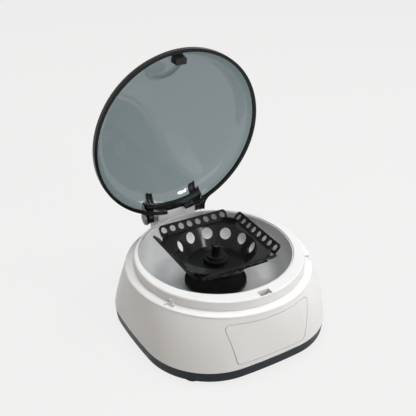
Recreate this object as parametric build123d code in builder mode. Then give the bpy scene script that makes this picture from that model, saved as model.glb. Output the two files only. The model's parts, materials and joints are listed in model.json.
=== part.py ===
"""Mini centrifuge: clear lid on a rear hinge, tube rotor in a round chamber, rounded square base.

Millimetres, +Z up, +Y towards the hinge, -Y towards the latch and the front panel.
The origin is on the table, under the middle of the base. The lid stands open.
"""
from build123d import *
import math
import os

os.makedirs("parts", exist_ok=True)

# How far a cut runs past the face where it starts or ends
cut_over = 1.0

# Base: heights
foot_standoff = 2.5
band_height = 9.6
wall_height = 49.4
collar_rise = 9.1
# Base: outline at the band, half way up the wall, and at the ledge
base_half = 89.8
base_side_radius = 500.0
base_corner_inset = 26.3
band_draft = 0.9
waist_inset = 1.4
waist_side_radius = 200.0
waist_corner_inset = 18.4
waist_forward = 1.2
ledge_inset = 3.8
ledge_width = 8.2
ledge_cap = 2.0
ledge_round = 1.5
collar_round = 1.4
shell_wall = 3.0
collar_wall = 2.5
tray_floor = 2.5
tray_wall = 3.0
lip_gap = 1.0
lip_thickness = 1.5
lip_height = 3.0

# Chamber and its liner
axis_back = 5.0
collar_top_width = 6.5
liner_gap = 0.3
liner_wall = 1.2
liner_depth = 34.0
liner_corner = 25.0
liner_edge_below_top = 0.6
liner_hole_radius = 16.0

# Front panel, on the wall below the ledge
panel_top_half = 43.0
panel_bottom_half = 34.5
panel_below_ledge = 6.6
panel_above_band = 4.6
panel_corner = 4.5
panel_depth = 2.0
panel_groove = 0.45
panel_cut_inset = 24.8
panel_cut_length = 40.0

# Latch slot in the collar, and lid stops in the ledge
slot_width = 11.6
slot_inset = 0.9
slot_length = 6.6
ledge_pocket_angle = 28.0
ledge_pocket_length = 8.0
ledge_pocket_width = 4.4
ledge_pocket_gap = 2.0
ledge_pocket_depth = 2.0
stop_tab_width = 3.2
stop_tab_height = 6.0
stop_tab_thickness = 1.4
stop_tab_root = 0.4

# Lid and hinge
lid_open_angle = 84.36
hinge_behind_dome = 3.87
hinge_below_collar = 1.02
hinge_pin_radius = 2.0
fixed_bore_gap = 0.03
running_gap = 0.08
rim_over = 0.55
rim_width = 3.05
rim_height = 4.5
rim_lift = 0.3
dome_inset = 1.3
dome_wall = 2.2
shoulder_radius = 20.0
crown_radius = 260.0
dome_seat = 1.2
seat_gap = 0.05
rim_gap_half = 10.2
knuckle_radius = 6.0
knuckle_side_gap = 0.4
knuckle_length = 5.9
ear_thickness = 2.2
ear_radius = 6.6
ear_gap = 0.15
bracket_thickness = 1.7
bracket_bottom = 5.0
bracket_top = 10.1
arm_top = 15.2
arm_top_inner = 20.3
arm_top_outer = 27.3
rib_width = 1.3
rib_height = 1.4
tower_half = 23.3
tower_behind_dome = 0.2
tower_barrel_radius = 4.8
tower_root_z = 40.0
tower_root_inset = 1.0
spring_room = 5.2
spring_room_over = 0.2
spring_end_gap = 0.45
spring_wire = 0.7
spring_coil_radius = 3.4
spring_turns = 3
spring_leg = 4.2
notch_gap = 0.2
notch_above_link = 0.6
bracket_seat_gap = 0.1
boss_inner = 25.6
boss_top = 11.2
rib_bottom = 9.7
rib_top = 14.2
rib_inset = 0.9

# Finger recess in the front of the lid: a ball's hollow
recess_x = -9.8
recess_inset = 2.9
recess_centre_height = 59.0
recess_radius = 46.7

# Lid latch tongue and the catch in the base
tongue_side_gap = 0.3
tongue_gap = 0.4
tongue_tip_height = 1.5
tongue_shoulder_height = 9.6
tongue_shoulder_reach = 2.5
tongue_notch_height = 4.2
tongue_notch_size = 3.0
tongue_notch_depth = 1.7
tongue_bevel = 0.8
tongue_seat_gap = 0.25
slot_floor_height = 0.8
catch_nose = 1.3
catch_slope = 0.91
catch_size = 2.4
catch_inset = 1.7
catch_length = 7.5
slide_gap = 0.1
keeper_left = -9.0
keeper_right = 17.0
keeper_front_inset = 2.9
keeper_back_wall = 3.1
keeper_depth = 13.0
keeper_ring_gap = 0.2
catch_spring_radius = 0.75
catch_spring_wire = 0.4
catch_spring_turns = 3
catch_spring_room = 3.5
plunger_size = 2.6
plunger_above_floor = 0.4
plunger_travel = 1.0
lid_switch_width = 12.0
lid_switch_depth = 5.6
lid_switch_height = 6.5

# Rotor: the flat deck, the cone of tube holes, the strip flanges and the hub
rotor_yaw = -1.5
deck_above_collar = 2.2
deck_half = 38.9
deck_thickness = 2.2
deck_corner_radius = 50.5
corner_wall_height = 3.2
corner_wall_thickness = 1.6
cone_top_radius = 37.4
cone_floor_radius = 26.7
cone_depth = 16.2
cone_wall = 2.2
tube_hole_count = 12
tube_hole_radius = 5.5
tube_hole_ring = 33.75
flange_half_length = 36.0
flange_width = 10.6
flange_thickness = 2.0
flange_tilt = 45.0
flange_end_chamfer = 2.0
strip_hole_count = 8
strip_pitch = 9.0
strip_hole_radius = 3.15
strip_hole_above_fold = 5.6
hub_radius = 11.5
hub_height = 5.5
hub_step_radius = 8.6
hub_step_height = 2.5
hub_sleeve_radius = 7.0
hub_sleeve_length = 8.0
shaft_radius = 2.0
shaft_above_hub = 6.0
nut_radius = 4.2
nut_height = 11.0
nut_round = 1.2

# Motor, its plate and mounts
seal_radius = 29.1
seal_hole_radius = 3.5
seal_thickness = 1.6
seal_rib_height = 0.7
seal_rib_width = 1.6
motor_plate_thickness = 1.6
motor_plate_half = 36.0
motor_plate_corner = 8.0
motor_radius = 18.0
motor_length = 26.0
motor_round = 1.5
motor_neck_radius = 5.0
motor_bearing_radius = 5.0
motor_bearing_height = 1.6
motor_screw_ring = 12.5
motor_screw_count = 3
mount_pitch = 58.0
mount_height = 7.0
mount_radius = 6.0
mount_waist = 0.9
post_radius = 6.5
screw_radius = 1.45
screw_head_radius = 2.7
screw_head_height = 1.1
screw_fit = 0.05
plate_screw_ring = 23.0
plate_screw_count = 4
plate_screw_length = 5.0
motor_screw_length = 5.0
mount_screw_length = 22.0
mount_hole_depth = 18.0
shaft_in_motor = 22.0

# Case screws, feet, board, rear inlet and switch
corner_post_inset = 27.2
corner_post_radius = 4.2
corner_post_top = 46.0
corner_seat_radius = 5.2
case_screw_radius = 1.6
case_screw_length = 20.0
case_screw_head_radius = 3.2
case_screw_head_height = 1.6
foot_inset = 26.1
foot_radius = 7.8
foot_recess = 1.0
foot_chamfer = 0.6
board_width = 76.0
board_depth = 24.0
board_mount_gap = 7.5
board_thickness = 1.6
board_post_height = 6.0
board_post_radius = 3.0
board_hole_inset = 4.0
board_screw_radius = 1.2
board_screw_head = 2.2
board_screw_head_height = 1.3
board_screw_length = 6.0
capacitor_radius = 5.0
capacitor_height = 11.0
connector_width = 10.0
connector_depth = 6.0
connector_height = 6.0
chip_size = 9.0
chip_height = 1.6
rear_pocket_width = 70.0
rear_pocket_height = 22.0
rear_pocket_corner = 4.0
rear_pocket_depth = 8.8
rear_plate_thickness = 3.0
rear_mid_z = 31.0
inlet_x = 22.0
inlet_radius = 5.6
inlet_socket_radius = 3.1
inlet_socket_depth = 9.5
inlet_pin_radius = 1.0
inlet_flange_radius = 7.4
inlet_flange_thickness = 1.6
inlet_nut_radius = 7.6
inlet_nut_thickness = 2.0
inlet_length = 15.0
switch_x = -20.0
rocker_width = 9.0
rocker_radius = 7.0
rocker_tilt = 8.0
rocker_face = 3.2
rocker_face_slope = 12.0
rocker_back = 3.0
rocker_pivot_depth = 3.6
rocker_axle_radius = 1.0
rocker_axle_reach = 1.0
rocker_gap = 0.3
bezel_wall = 1.4
bezel_border = 1.6
bezel_thickness = 1.4
switch_length = 14.0
terminal_width = 4.8
terminal_thickness = 0.8
terminal_length = 6.0
terminal_spacing = 7.0

# Outlines that follow from the base's size, each inside the one before
base_corner_radius = base_half - base_corner_inset
waist_half = base_half - waist_inset
waist_corner_radius = waist_half - waist_corner_inset
ledge_radius = base_half - ledge_inset
collar_radius = ledge_radius - ledge_width
chamber_radius = collar_radius - collar_top_width
rear_pocket_y = base_half - rear_pocket_depth
corner_post_at = base_half - corner_post_inset
foot_at = base_half - foot_inset
panel_cut_start = base_half - panel_cut_inset
ledge_pocket_radius = collar_radius + ledge_pocket_gap + ledge_pocket_width / 2
dome_radius = ledge_radius - dome_inset
rim_outer_radius = dome_radius + rim_over
rim_inner_radius = rim_outer_radius - rim_width
hinge_y = dome_radius + hinge_behind_dome
tower_front = dome_radius + tower_behind_dome
knuckle_inner = tower_half + knuckle_side_gap
knuckle_outer = knuckle_inner + knuckle_length
recess_y = recess_inset - dome_radius
slot_front = collar_radius - slot_inset
slot_back = slot_front - slot_length
tongue_half = slot_width / 2 - tongue_side_gap
tongue_front = slot_front - tongue_gap
tongue_back = slot_back + tongue_gap
tongue_shoulder_front = tongue_front + tongue_shoulder_reach
catch_y = -slot_back - catch_inset
keeper_front = slot_front - keeper_front_inset
keeper_back = slot_back - keeper_back_wall
board_y = axis_back + mount_pitch / 2 + post_radius + board_mount_gap + board_depth / 2

# Heights that follow
band_top_z = foot_standoff + band_height
ledge_z = band_top_z + wall_height
collar_z = ledge_z + collar_rise
waist_z = (band_top_z + ledge_z - ledge_cap) / 2
hinge_z = collar_z - hinge_below_collar
tray_floor_z = foot_standoff + tray_floor
liner_floor_z = collar_z - liner_depth
liner_under_z = liner_floor_z - liner_wall
motor_top_z = liner_under_z - motor_plate_thickness
deck_z = collar_z + deck_above_collar
cone_floor_z = deck_z - cone_depth
lid_bottom_z = ledge_z + rim_lift
keeper_top_z = collar_z - shell_wall
tongue_tip_z = ledge_z + tongue_tip_height
catch_z = ledge_z + tongue_notch_height
board_z = tray_floor_z + board_post_height
post_top_z = motor_top_z - mount_height
mount_head_z = liner_under_z - screw_head_height - screw_fit
case_head_z = foot_standoff + foot_recess + screw_fit
slot_floor_z = ledge_z + slot_floor_height
hub_top_z = cone_floor_z + hub_height + hub_step_height
rotor_seat_z = cone_floor_z - cone_wall - hub_sleeve_length
board_hole_x = board_width - 2 * board_hole_inset
board_hole_y = board_depth - 2 * board_hole_inset
bezel_inner_width = rocker_width + 2 * rocker_gap
bezel_inner_height = 2 * (rocker_radius + rocker_gap)
rocker_pivot_y = rear_pocket_y + bezel_thickness - rocker_pivot_depth

rotor_axis = Axis((0, axis_back, 0), (0, 0, 1))
rotor_at = Location((0, axis_back, 0), (0, 0, rotor_yaw))
hinge_at = Location((0, hinge_y, hinge_z))
lid_at = hinge_at * Location((0, 0, 0), (-lid_open_angle, 0, 0)) * hinge_at.inverse()
dome_axis = Axis(lid_at.position, Plane(lid_at).z_dir)
recess_at = lid_at * Location((recess_x, recess_y, ledge_z + recess_centre_height))


def moved(place, plane):
    """The plane, carried to a place."""
    return Plane(place * plane.location)


def opened(plane):
    """The plane of the closed lid, swung with the open lid."""
    return moved(lid_at, plane)


def save(builder, name):
    """Label the finished piece and write its file."""
    builder.part.label = name
    export_step(builder.part, f"parts/{name}.step")


# The outline of the base


def square_split(half, side_radius, corner_radius):
    """Where a bulging side's arc meets the corner's arc: corner centre and angle."""
    side_centre = half - side_radius
    centre_gap = side_radius - corner_radius
    corner_at = (2 * side_centre + math.sqrt(8 * centre_gap**2 - 4 * side_centre**2)) / 4
    angle = math.degrees(math.atan2(corner_at, corner_at - side_centre))
    return side_centre, corner_at, angle


def bulged_square(half, side_radius, corner_radius, back=0.0):
    """Face of a square whose sides bulge and whose corners are round, in a sketch."""
    side_centre, corner_at, angle = square_split(half, side_radius, corner_radius)
    with BuildLine() as outline:
        for quarter in range(4):
            turn = 90 * quarter
            side = Vector(side_centre, 0).rotate(Axis.Z, turn) + Vector(0, back)
            corner = Vector(corner_at, corner_at).rotate(Axis.Z, turn) + Vector(0, back)
            CenterArc(side, side_radius, turn - angle, 2 * angle)
            CenterArc(corner, corner_radius, turn + angle, 90 - 2 * angle)
    make_face(outline.edges())


def split_circle(radius):
    """Face of a circle in eight arcs that stand above the square's arcs, in a sketch."""
    side_centre, corner_at, angle = square_split(base_half, base_side_radius, base_corner_radius)
    meeting_x = side_centre + base_side_radius * math.cos(math.radians(angle))
    meeting_y = base_side_radius * math.sin(math.radians(angle))
    meeting = math.degrees(math.atan2(meeting_y, meeting_x))
    with BuildLine() as outline:
        for quarter in range(4):
            CenterArc((0, 0), radius, 90 * quarter - meeting, 2 * meeting)
            CenterArc((0, 0), radius, 90 * quarter + meeting, 90 - 2 * meeting)
    make_face(outline.edges())


def body_form(inset):
    """Solid between the band and the ledge, its walls set in by inset."""
    with BuildPart() as form:
        with BuildSketch(Plane.XY.offset(band_top_z)):
            bulged_square(base_half - inset, base_side_radius - inset, base_corner_radius - inset)
        with BuildSketch(Plane.XY.offset(waist_z)):
            bulged_square(
                waist_half - inset,
                waist_side_radius - inset,
                waist_corner_radius - inset,
                -waist_forward,
            )
        with BuildSketch(Plane.XY.offset(ledge_z - ledge_cap)):
            split_circle(ledge_radius - inset)
        loft()
    return form.part


def panel_prism(shrink):
    """Upright prism of the front panel's outline, through the front wall."""
    low = band_top_z + panel_above_band + shrink
    high = ledge_z - panel_below_ledge - shrink
    with BuildPart() as prism:
        with BuildSketch(Plane.XZ.offset(panel_cut_start)):
            with BuildLine():
                Polyline(
                    (-panel_top_half + shrink, high),
                    (-panel_bottom_half + shrink, low),
                    (panel_bottom_half - shrink, low),
                    (panel_top_half - shrink, high),
                    close=True,
                )
            face = make_face()
            fillet(face.vertices(), panel_corner - shrink)
        extrude(amount=panel_cut_length)
    return prism.part


def dome_profile(inset, bottom):
    """Half section of the lid's form, set in by inset, from a height above the ledge."""
    ring = dome_radius - shoulder_radius
    drop = math.sqrt((crown_radius - shoulder_radius) ** 2 - ring**2)
    steep = math.degrees(math.atan2(ring, drop))
    shoulder = shoulder_radius - inset
    crown = crown_radius - inset
    start = math.degrees(math.asin(bottom / shoulder))
    with BuildLine() as outline:
        foot = (ring + shoulder * math.cos(math.radians(start)), ledge_z + bottom)
        CenterArc((ring, ledge_z), shoulder, start, 90 - steep - start)
        CenterArc((0, ledge_z - drop), crown, 90 - steep, steep)
        Polyline((0, ledge_z - drop + crown), (0, ledge_z + bottom), foot)
    make_face(outline.edges())


def dome_form(inset, bottom):
    """Solid of the lid's form, on the open lid."""
    with BuildPart() as form:
        with BuildSketch(opened(Plane.XZ)):
            dome_profile(inset, bottom)
        revolve(axis=dome_axis)
    return form.part


# Springs


def coil(start, radius, length, turns, leg):
    """Wire path along +X round the line from start, with a straight leg at each end."""
    slope = math.atan2(length, 2 * math.pi * radius * turns)

    def point(turn):
        angle = 2 * math.pi * turn
        along = Vector(length * turn / turns, -radius * math.cos(angle), -radius * math.sin(angle))
        return start + along

    def heading(turn):
        angle = 2 * math.pi * turn
        flat = math.cos(slope)
        return Vector(math.sin(slope), flat * math.sin(angle), -flat * math.cos(angle))

    if leg:
        Line(point(0) - heading(0) * leg, point(0))
    for quarter in range(4 * turns):
        begin = point(quarter / 4)
        end = point((quarter + 1) / 4)
        out = heading(quarter / 4)
        into = heading((quarter + 1) / 4)
        # Two arcs that meet half way, each tangent to the helix at its end
        span = end - begin
        lean = span.dot(out + into)
        bend = 2 - 2 * out.dot(into)
        reach = (math.sqrt(lean**2 + bend * span.dot(span)) - lean) / bend
        first = begin + out * reach
        last = end - into * reach
        middle = (first + last) * 0.5
        TangentArc(begin, middle, tangent=out)
        TangentArc(middle, end, tangent=last - first)
    if leg:
        Line(point(turns), point(turns) + heading(turns) * leg)


def least_gap(path, wire):
    """Smallest gap between the wire and itself, on points along its path."""
    count = 240
    points = [path @ (i / count) for i in range(count + 1)]
    step = path.length / count
    apart = math.ceil(4 * wire / step)
    gaps = [
        (points[j] - points[i]).length - wire
        for i in range(count + 1)
        for j in range(i + apart, count + 1)
    ]
    return round(min(gaps), 2)


# Top housing

with BuildPart() as panel_pocket:
    add(body_form(-cut_over))
    add(body_form(panel_depth), mode=Mode.SUBTRACT)
    add(panel_prism(0.0), mode=Mode.INTERSECT)

with BuildPart() as case_posts:
    # Posts for the case screws, cut to the wall's form
    with BuildSketch(Plane.XY.offset(band_top_z)):
        with GridLocations(2 * corner_post_at, 2 * corner_post_at, 2, 2):
            Circle(corner_post_radius)
            Circle(case_screw_radius, mode=Mode.SUBTRACT)
    extrude(amount=corner_post_top - band_top_z)
    add(body_form(shell_wall / 2), mode=Mode.INTERSECT)

with BuildPart() as rear_plate:
    # Back and sides of the rear pocket, cut to the wall's form
    with BuildSketch(Plane.XZ.offset(-rear_pocket_y + rear_plate_thickness)):
        with Locations((0, rear_mid_z)):
            Rectangle(rear_pocket_width + 2 * shell_wall, rear_pocket_height + 2 * shell_wall)
    extrude(amount=rear_pocket_y - rear_plate_thickness - base_half)
    add(body_form(0.0), mode=Mode.INTERSECT)

with BuildPart() as housing_cavity:
    add(body_form(shell_wall))
    split(bisect_by=Plane.XY.offset(ledge_z - shell_wall), keep=Keep.BOTTOM)

with BuildPart() as top_housing:
    add(body_form(0.0))
    with BuildSketch(Plane.XY.offset(ledge_z - ledge_cap)):
        Circle(ledge_radius)
    extrude(amount=ledge_cap)
    fillet(top_housing.edges().filter_by(GeomType.CIRCLE).group_by(Axis.Z)[-1], ledge_round)
    with BuildSketch(Plane.XY.offset(ledge_z)):
        Circle(collar_radius)
    extrude(amount=collar_rise)
    fillet(top_housing.edges().filter_by(GeomType.CIRCLE).group_by(Axis.Z)[-1], collar_round)
    # Hinge tower on the rear wall, with a round top along the hinge
    with BuildSketch(Plane.YZ.offset(-tower_half)):
        with BuildLine():
            Polyline(
                (tower_front, hinge_z),
                (tower_front, ledge_z - shell_wall),
                (base_half - shell_wall, tower_root_z),
                (base_half - tower_root_inset, tower_root_z),
                (hinge_y + tower_barrel_radius, ledge_z - shell_wall),
                (hinge_y + tower_barrel_radius, hinge_z),
            )
            front_rise = math.sqrt(tower_barrel_radius**2 - (hinge_y - tower_front) ** 2)
            Line((tower_front, hinge_z), (tower_front, hinge_z + front_rise))
            ThreePointArc(
                (tower_front, hinge_z + front_rise),
                (hinge_y, hinge_z + tower_barrel_radius),
                (hinge_y + tower_barrel_radius, hinge_z),
            )
        make_face()
    extrude(amount=2 * tower_half)
    # The inside
    add(housing_cavity.part, mode=Mode.SUBTRACT)
    with BuildSketch(Plane.XY.offset(ledge_z - shell_wall)):
        Circle(collar_radius - collar_wall)
    extrude(amount=collar_rise, mode=Mode.SUBTRACT)
    with BuildSketch(Plane.XY.offset(liner_floor_z)):
        with Locations((0, axis_back)):
            Circle(chamber_radius)
    extrude(amount=liner_depth + cut_over, mode=Mode.SUBTRACT)
    add(case_posts.part)
    add(rear_plate.part)
    # Slot for the lid's tongue
    with BuildSketch(Plane.XY.offset(ledge_z + slot_floor_height)):
        with Locations((0, -(slot_front + slot_back) / 2)):
            Rectangle(slot_width, slot_front - slot_back)
    extrude(amount=collar_rise, mode=Mode.SUBTRACT)
    # Stop pockets in the ledge with a tab on the collar beside each
    for side in (-1, 1):
        angle = -90 + side * (90 - ledge_pocket_angle)
        spot = Location((0, 0, 0), (0, 0, angle))
        with BuildSketch(moved(spot, Plane.XY.offset(ledge_z - ledge_pocket_depth))):
            with Locations((ledge_pocket_radius, 0)):
                Rectangle(ledge_pocket_width, ledge_pocket_length)
        extrude(amount=ledge_pocket_depth + cut_over, mode=Mode.SUBTRACT)
        with BuildSketch(moved(spot, Plane.XY.offset(ledge_z - ledge_pocket_depth))):
            with Locations((collar_radius + (stop_tab_thickness - stop_tab_root) / 2, 0)):
                Rectangle(stop_tab_thickness + stop_tab_root, stop_tab_width)
        extrude(amount=stop_tab_height)
    add(panel_pocket.part, mode=Mode.SUBTRACT)
    # Flat pocket in the rear wall, with holes for the inlet and the switch
    with BuildSketch(Plane.XZ.offset(-rear_pocket_y)):
        with Locations((0, rear_mid_z)):
            RectangleRounded(rear_pocket_width, rear_pocket_height, rear_pocket_corner)
    extrude(amount=rear_pocket_y - base_half, mode=Mode.SUBTRACT)
    with BuildSketch(Plane.XZ.offset(-rear_pocket_y)):
        with Locations((inlet_x, rear_mid_z)):
            Circle(inlet_radius + seat_gap)
        with Locations((switch_x, rear_mid_z)):
            Rectangle(
                bezel_inner_width + 2 * bezel_wall + 2 * seat_gap,
                bezel_inner_height + 2 * bezel_wall + 2 * seat_gap,
            )
    extrude(amount=rear_plate_thickness, mode=Mode.SUBTRACT)
    # Bore for the hinge pin, and room for the spring at the left end
    with BuildSketch(Plane.YZ.offset(-tower_half - cut_over)):
        with Locations((hinge_y, hinge_z)):
            Circle(hinge_pin_radius + fixed_bore_gap)
    extrude(amount=2 * (tower_half + cut_over), mode=Mode.SUBTRACT)
    with BuildSketch(Plane.YZ.offset(-tower_half - cut_over)):
        with Locations((hinge_y, hinge_z)):
            Rectangle(4 * tower_barrel_radius, 2 * (tower_barrel_radius + spring_room_over))
    extrude(amount=spring_room + cut_over, mode=Mode.SUBTRACT)
save(top_housing, "top_housing")

with BuildPart() as front_panel:
    add(body_form(0.0))
    add(body_form(panel_depth - seat_gap), mode=Mode.SUBTRACT)
    add(panel_prism(panel_groove), mode=Mode.INTERSECT)
save(front_panel, "front_panel")

with BuildPart() as latch_keeper:
    # Block under the collar, between its wall and the chamber
    with BuildSketch(Plane.XY.offset(keeper_top_z - seat_gap)):
        with BuildLine():
            Polyline(
                (keeper_left, -keeper_front),
                (keeper_right, -keeper_front),
                (keeper_right, -keeper_back),
                (keeper_left, -keeper_back),
                close=True,
            )
        make_face()
        Circle(collar_radius - collar_wall - keeper_ring_gap, mode=Mode.INTERSECT)
    extrude(amount=-keeper_depth)
    # Well for the tongue
    with BuildSketch(Plane.XY.offset(slot_floor_z)):
        with Locations((0, -(slot_front + slot_back) / 2)):
            Rectangle(slot_width, slot_front - slot_back)
    extrude(amount=keeper_depth, mode=Mode.SUBTRACT)
    # Channel for the catch and its spring
    with BuildSketch(Plane.YZ.offset(slot_width / 2 - slide_gap)):
        with Locations((catch_y, catch_z)):
            Rectangle(catch_size + 2 * slide_gap, catch_size + 2 * slide_gap)
    extrude(
        amount=catch_length - catch_nose + catch_spring_room + slide_gap, mode=Mode.SUBTRACT
    )
    # Guide for the plunger
    with BuildSketch(Plane.XY.offset(slot_floor_z)):
        with Locations((0, catch_y)):
            Rectangle(plunger_size + 2 * slide_gap, plunger_size + 2 * slide_gap)
    extrude(amount=-keeper_depth, mode=Mode.SUBTRACT)
save(latch_keeper, "latch_keeper")

catch_tip_x = slot_width / 2 - catch_nose

with BuildPart() as latch_catch:
    with BuildSketch(Plane.YZ.offset(catch_tip_x)):
        with Locations((catch_y, catch_z)):
            Rectangle(catch_size, catch_size)
    extrude(amount=catch_length)
    # The nose slopes on top, so that the falling tongue pushes it aside
    nose_top = latch_catch.edges().filter_by(Axis.Y).group_by(Axis.X)[0].sort_by(Axis.Z)[-1]
    chamfer(nose_top, catch_slope)
save(latch_catch, "latch_catch")

with BuildPart() as catch_spring:
    spring_start = catch_tip_x + catch_length + catch_spring_wire / 2 + slide_gap
    with BuildLine() as catch_spring_path:
        coil(
            Vector(spring_start, catch_y, catch_z),
            catch_spring_radius,
            catch_spring_room - catch_spring_wire - 2 * slide_gap,
            catch_spring_turns,
            0.0,
        )
    catch_spring_route = catch_spring_path.wire()
    with BuildSketch(Plane(catch_spring_route @ 0, z_dir=catch_spring_route % 0)):
        Circle(catch_spring_wire / 2)
    sweep(path=catch_spring_route)
save(catch_spring, "catch_spring")
print("catch spring, least gap:", least_gap(catch_spring_route, catch_spring_wire))

with BuildPart() as lid_plunger:
    plunger_bottom_z = keeper_top_z - keeper_depth + plunger_travel
    with BuildSketch(Plane.XY.offset(plunger_bottom_z)):
        with Locations((0, catch_y)):
            Rectangle(plunger_size, plunger_size)
    extrude(amount=slot_floor_z + plunger_above_floor - plunger_bottom_z)
save(lid_plunger, "lid_plunger")

with BuildPart() as lid_switch:
    with BuildSketch(Plane.XY.offset(keeper_top_z - keeper_depth - 2 * seat_gap)):
        with Locations((0, -(keeper_front + keeper_back) / 2)):
            Rectangle(lid_switch_width, lid_switch_depth)
    extrude(amount=-lid_switch_height)
save(lid_switch, "lid_switch")

# Bottom tray: the dark band, its floor, the screw seats and the posts

with BuildPart() as bottom_tray:
    with BuildSketch(Plane.XY.offset(foot_standoff)):
        bulged_square(
            base_half - band_draft, base_side_radius - band_draft, base_corner_radius - band_draft
        )
    with BuildSketch(Plane.XY.offset(band_top_z)):
        bulged_square(base_half, base_side_radius, base_corner_radius)
    loft(ruled=True)
    with BuildSketch(Plane.XY.offset(tray_floor_z)):
        bulged_square(
            base_half - tray_wall, base_side_radius - tray_wall, base_corner_radius - tray_wall
        )
    extrude(amount=band_height, mode=Mode.SUBTRACT)
    # Lip that stands inside the housing's wall
    with BuildSketch(Plane.XY.offset(tray_floor_z)):
        lip_out = shell_wall + lip_gap
        lip_in = lip_out + lip_thickness
        bulged_square(base_half - lip_out, base_side_radius - lip_out, base_corner_radius - lip_out)
        with BuildSketch(Plane.XY, mode=Mode.PRIVATE) as lip_hollow:
            bulged_square(base_half - lip_in, base_side_radius - lip_in, base_corner_radius - lip_in)
        add(lip_hollow.sketch, mode=Mode.SUBTRACT)
    extrude(amount=band_top_z + lip_height - tray_floor_z)
    # Seats under the case posts
    with BuildSketch(Plane.XY.offset(tray_floor_z)):
        with GridLocations(2 * corner_post_at, 2 * corner_post_at, 2, 2):
            Circle(corner_seat_radius)
    extrude(amount=band_top_z - seat_gap - tray_floor_z)
    # Posts for the motor's rubber mounts and for the board
    with BuildSketch(Plane.XY.offset(tray_floor_z)):
        with Locations((0, axis_back)):
            with GridLocations(mount_pitch, mount_pitch, 2, 2):
                Circle(post_radius)
    extrude(amount=post_top_z - tray_floor_z)
    with BuildSketch(Plane.XY.offset(tray_floor_z)):
        with Locations((0, board_y)):
            with GridLocations(board_hole_x, board_hole_y, 2, 2):
                Circle(board_post_radius)
    extrude(amount=board_post_height)
    # Screw holes
    with BuildSketch(Plane.XY.offset(post_top_z)):
        with Locations((0, axis_back)):
            with GridLocations(mount_pitch, mount_pitch, 2, 2):
                Circle(screw_radius + screw_fit)
    extrude(amount=-mount_hole_depth, mode=Mode.SUBTRACT)
    with BuildSketch(Plane.XY.offset(board_z)):
        with Locations((0, board_y)):
            with GridLocations(board_hole_x, board_hole_y, 2, 2):
                Circle(board_screw_radius + screw_fit)
    extrude(amount=-board_post_height, mode=Mode.SUBTRACT)
    # From below: foot pockets and the case screws' seats
    with BuildSketch(Plane.XY.offset(foot_standoff)):
        with GridLocations(2 * foot_at, 2 * foot_at, 2, 2):
            Circle(foot_radius + seat_gap)
    extrude(amount=foot_recess, mode=Mode.SUBTRACT)
    with BuildSketch(Plane.XY.offset(foot_standoff)):
        with GridLocations(2 * corner_post_at, 2 * corner_post_at, 2, 2):
            Circle(case_screw_head_radius + 2 * screw_fit)
    extrude(amount=foot_recess + case_screw_head_height + 2 * screw_fit, mode=Mode.SUBTRACT)
    with BuildSketch(Plane.XY.offset(foot_standoff)):
        with GridLocations(2 * corner_post_at, 2 * corner_post_at, 2, 2):
            Circle(case_screw_radius + screw_fit)
    extrude(amount=band_height, mode=Mode.SUBTRACT)
save(bottom_tray, "bottom_tray")

with BuildPart() as rubber_feet:
    with BuildSketch(Plane.XY):
        with GridLocations(2 * foot_at, 2 * foot_at, 2, 2):
            Circle(foot_radius)
    extrude(amount=foot_standoff + foot_recess)
    chamfer(rubber_feet.edges().group_by(Axis.Z)[0], foot_chamfer)
save(rubber_feet, "rubber_feet")

with BuildPart() as case_screws:
    with BuildSketch(Plane.XY.offset(case_head_z)):
        with GridLocations(2 * corner_post_at, 2 * corner_post_at, 2, 2):
            Circle(case_screw_head_radius)
    extrude(amount=case_screw_head_height)
    with BuildSketch(Plane.XY.offset(case_head_z)):
        with GridLocations(2 * corner_post_at, 2 * corner_post_at, 2, 2):
            Circle(case_screw_radius - screw_fit)
    extrude(amount=case_screw_length)
save(case_screws, "case_screws")

# Chamber liner, the rubber cover on its floor, and the motor below

with BuildPart() as chamber_liner:
    liner_radius = chamber_radius - liner_gap
    corner_z = liner_floor_z + liner_corner
    floor_radius = liner_radius - liner_wall - liner_corner
    with BuildSketch(Plane.XZ.offset(-axis_back)):
        with BuildLine():
            outer_corner = liner_corner + liner_wall
            top_z = collar_z - liner_edge_below_top
            Line((liner_hole_radius, liner_under_z), (floor_radius, liner_under_z))
            CenterArc((floor_radius, corner_z), outer_corner, -90, 90)
            Polyline(
                (liner_radius, corner_z),
                (liner_radius, top_z),
                (liner_radius - liner_wall, top_z),
                (liner_radius - liner_wall, corner_z),
            )
            CenterArc((floor_radius, corner_z), liner_corner, -90, 90)
            Polyline(
                (floor_radius, liner_floor_z),
                (liner_hole_radius, liner_floor_z),
                (liner_hole_radius, liner_under_z),
            )
        make_face()
    revolve(axis=rotor_axis)
    with BuildSketch(Plane.XY.offset(liner_under_z)):
        with Locations((0, axis_back)):
            with PolarLocations(plate_screw_ring, plate_screw_count, start_angle=45):
                Circle(screw_radius + screw_fit)
    extrude(amount=liner_wall, mode=Mode.SUBTRACT)
save(chamber_liner, "chamber_liner")

with BuildPart() as motor_cover:
    with BuildSketch(Plane.XY.offset(liner_floor_z)):
        with Locations((0, axis_back)):
            Circle(seal_radius)
            Circle(seal_hole_radius, mode=Mode.SUBTRACT)
    extrude(amount=seal_thickness)
    with BuildSketch(Plane.XY.offset(liner_floor_z + seal_thickness)):
        with Locations((0, axis_back)):
            Circle(seal_radius)
            Circle(seal_radius - seal_rib_width, mode=Mode.SUBTRACT)
    extrude(amount=seal_rib_height)
    # Room for the screw heads below
    with BuildSketch(Plane.XY.offset(liner_floor_z)):
        with Locations((0, axis_back)):
            with PolarLocations(plate_screw_ring, plate_screw_count, start_angle=45):
                Circle(screw_head_radius + 2 * screw_fit)
    extrude(amount=screw_head_height + screw_fit, mode=Mode.SUBTRACT)
save(motor_cover, "motor_cover")

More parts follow.
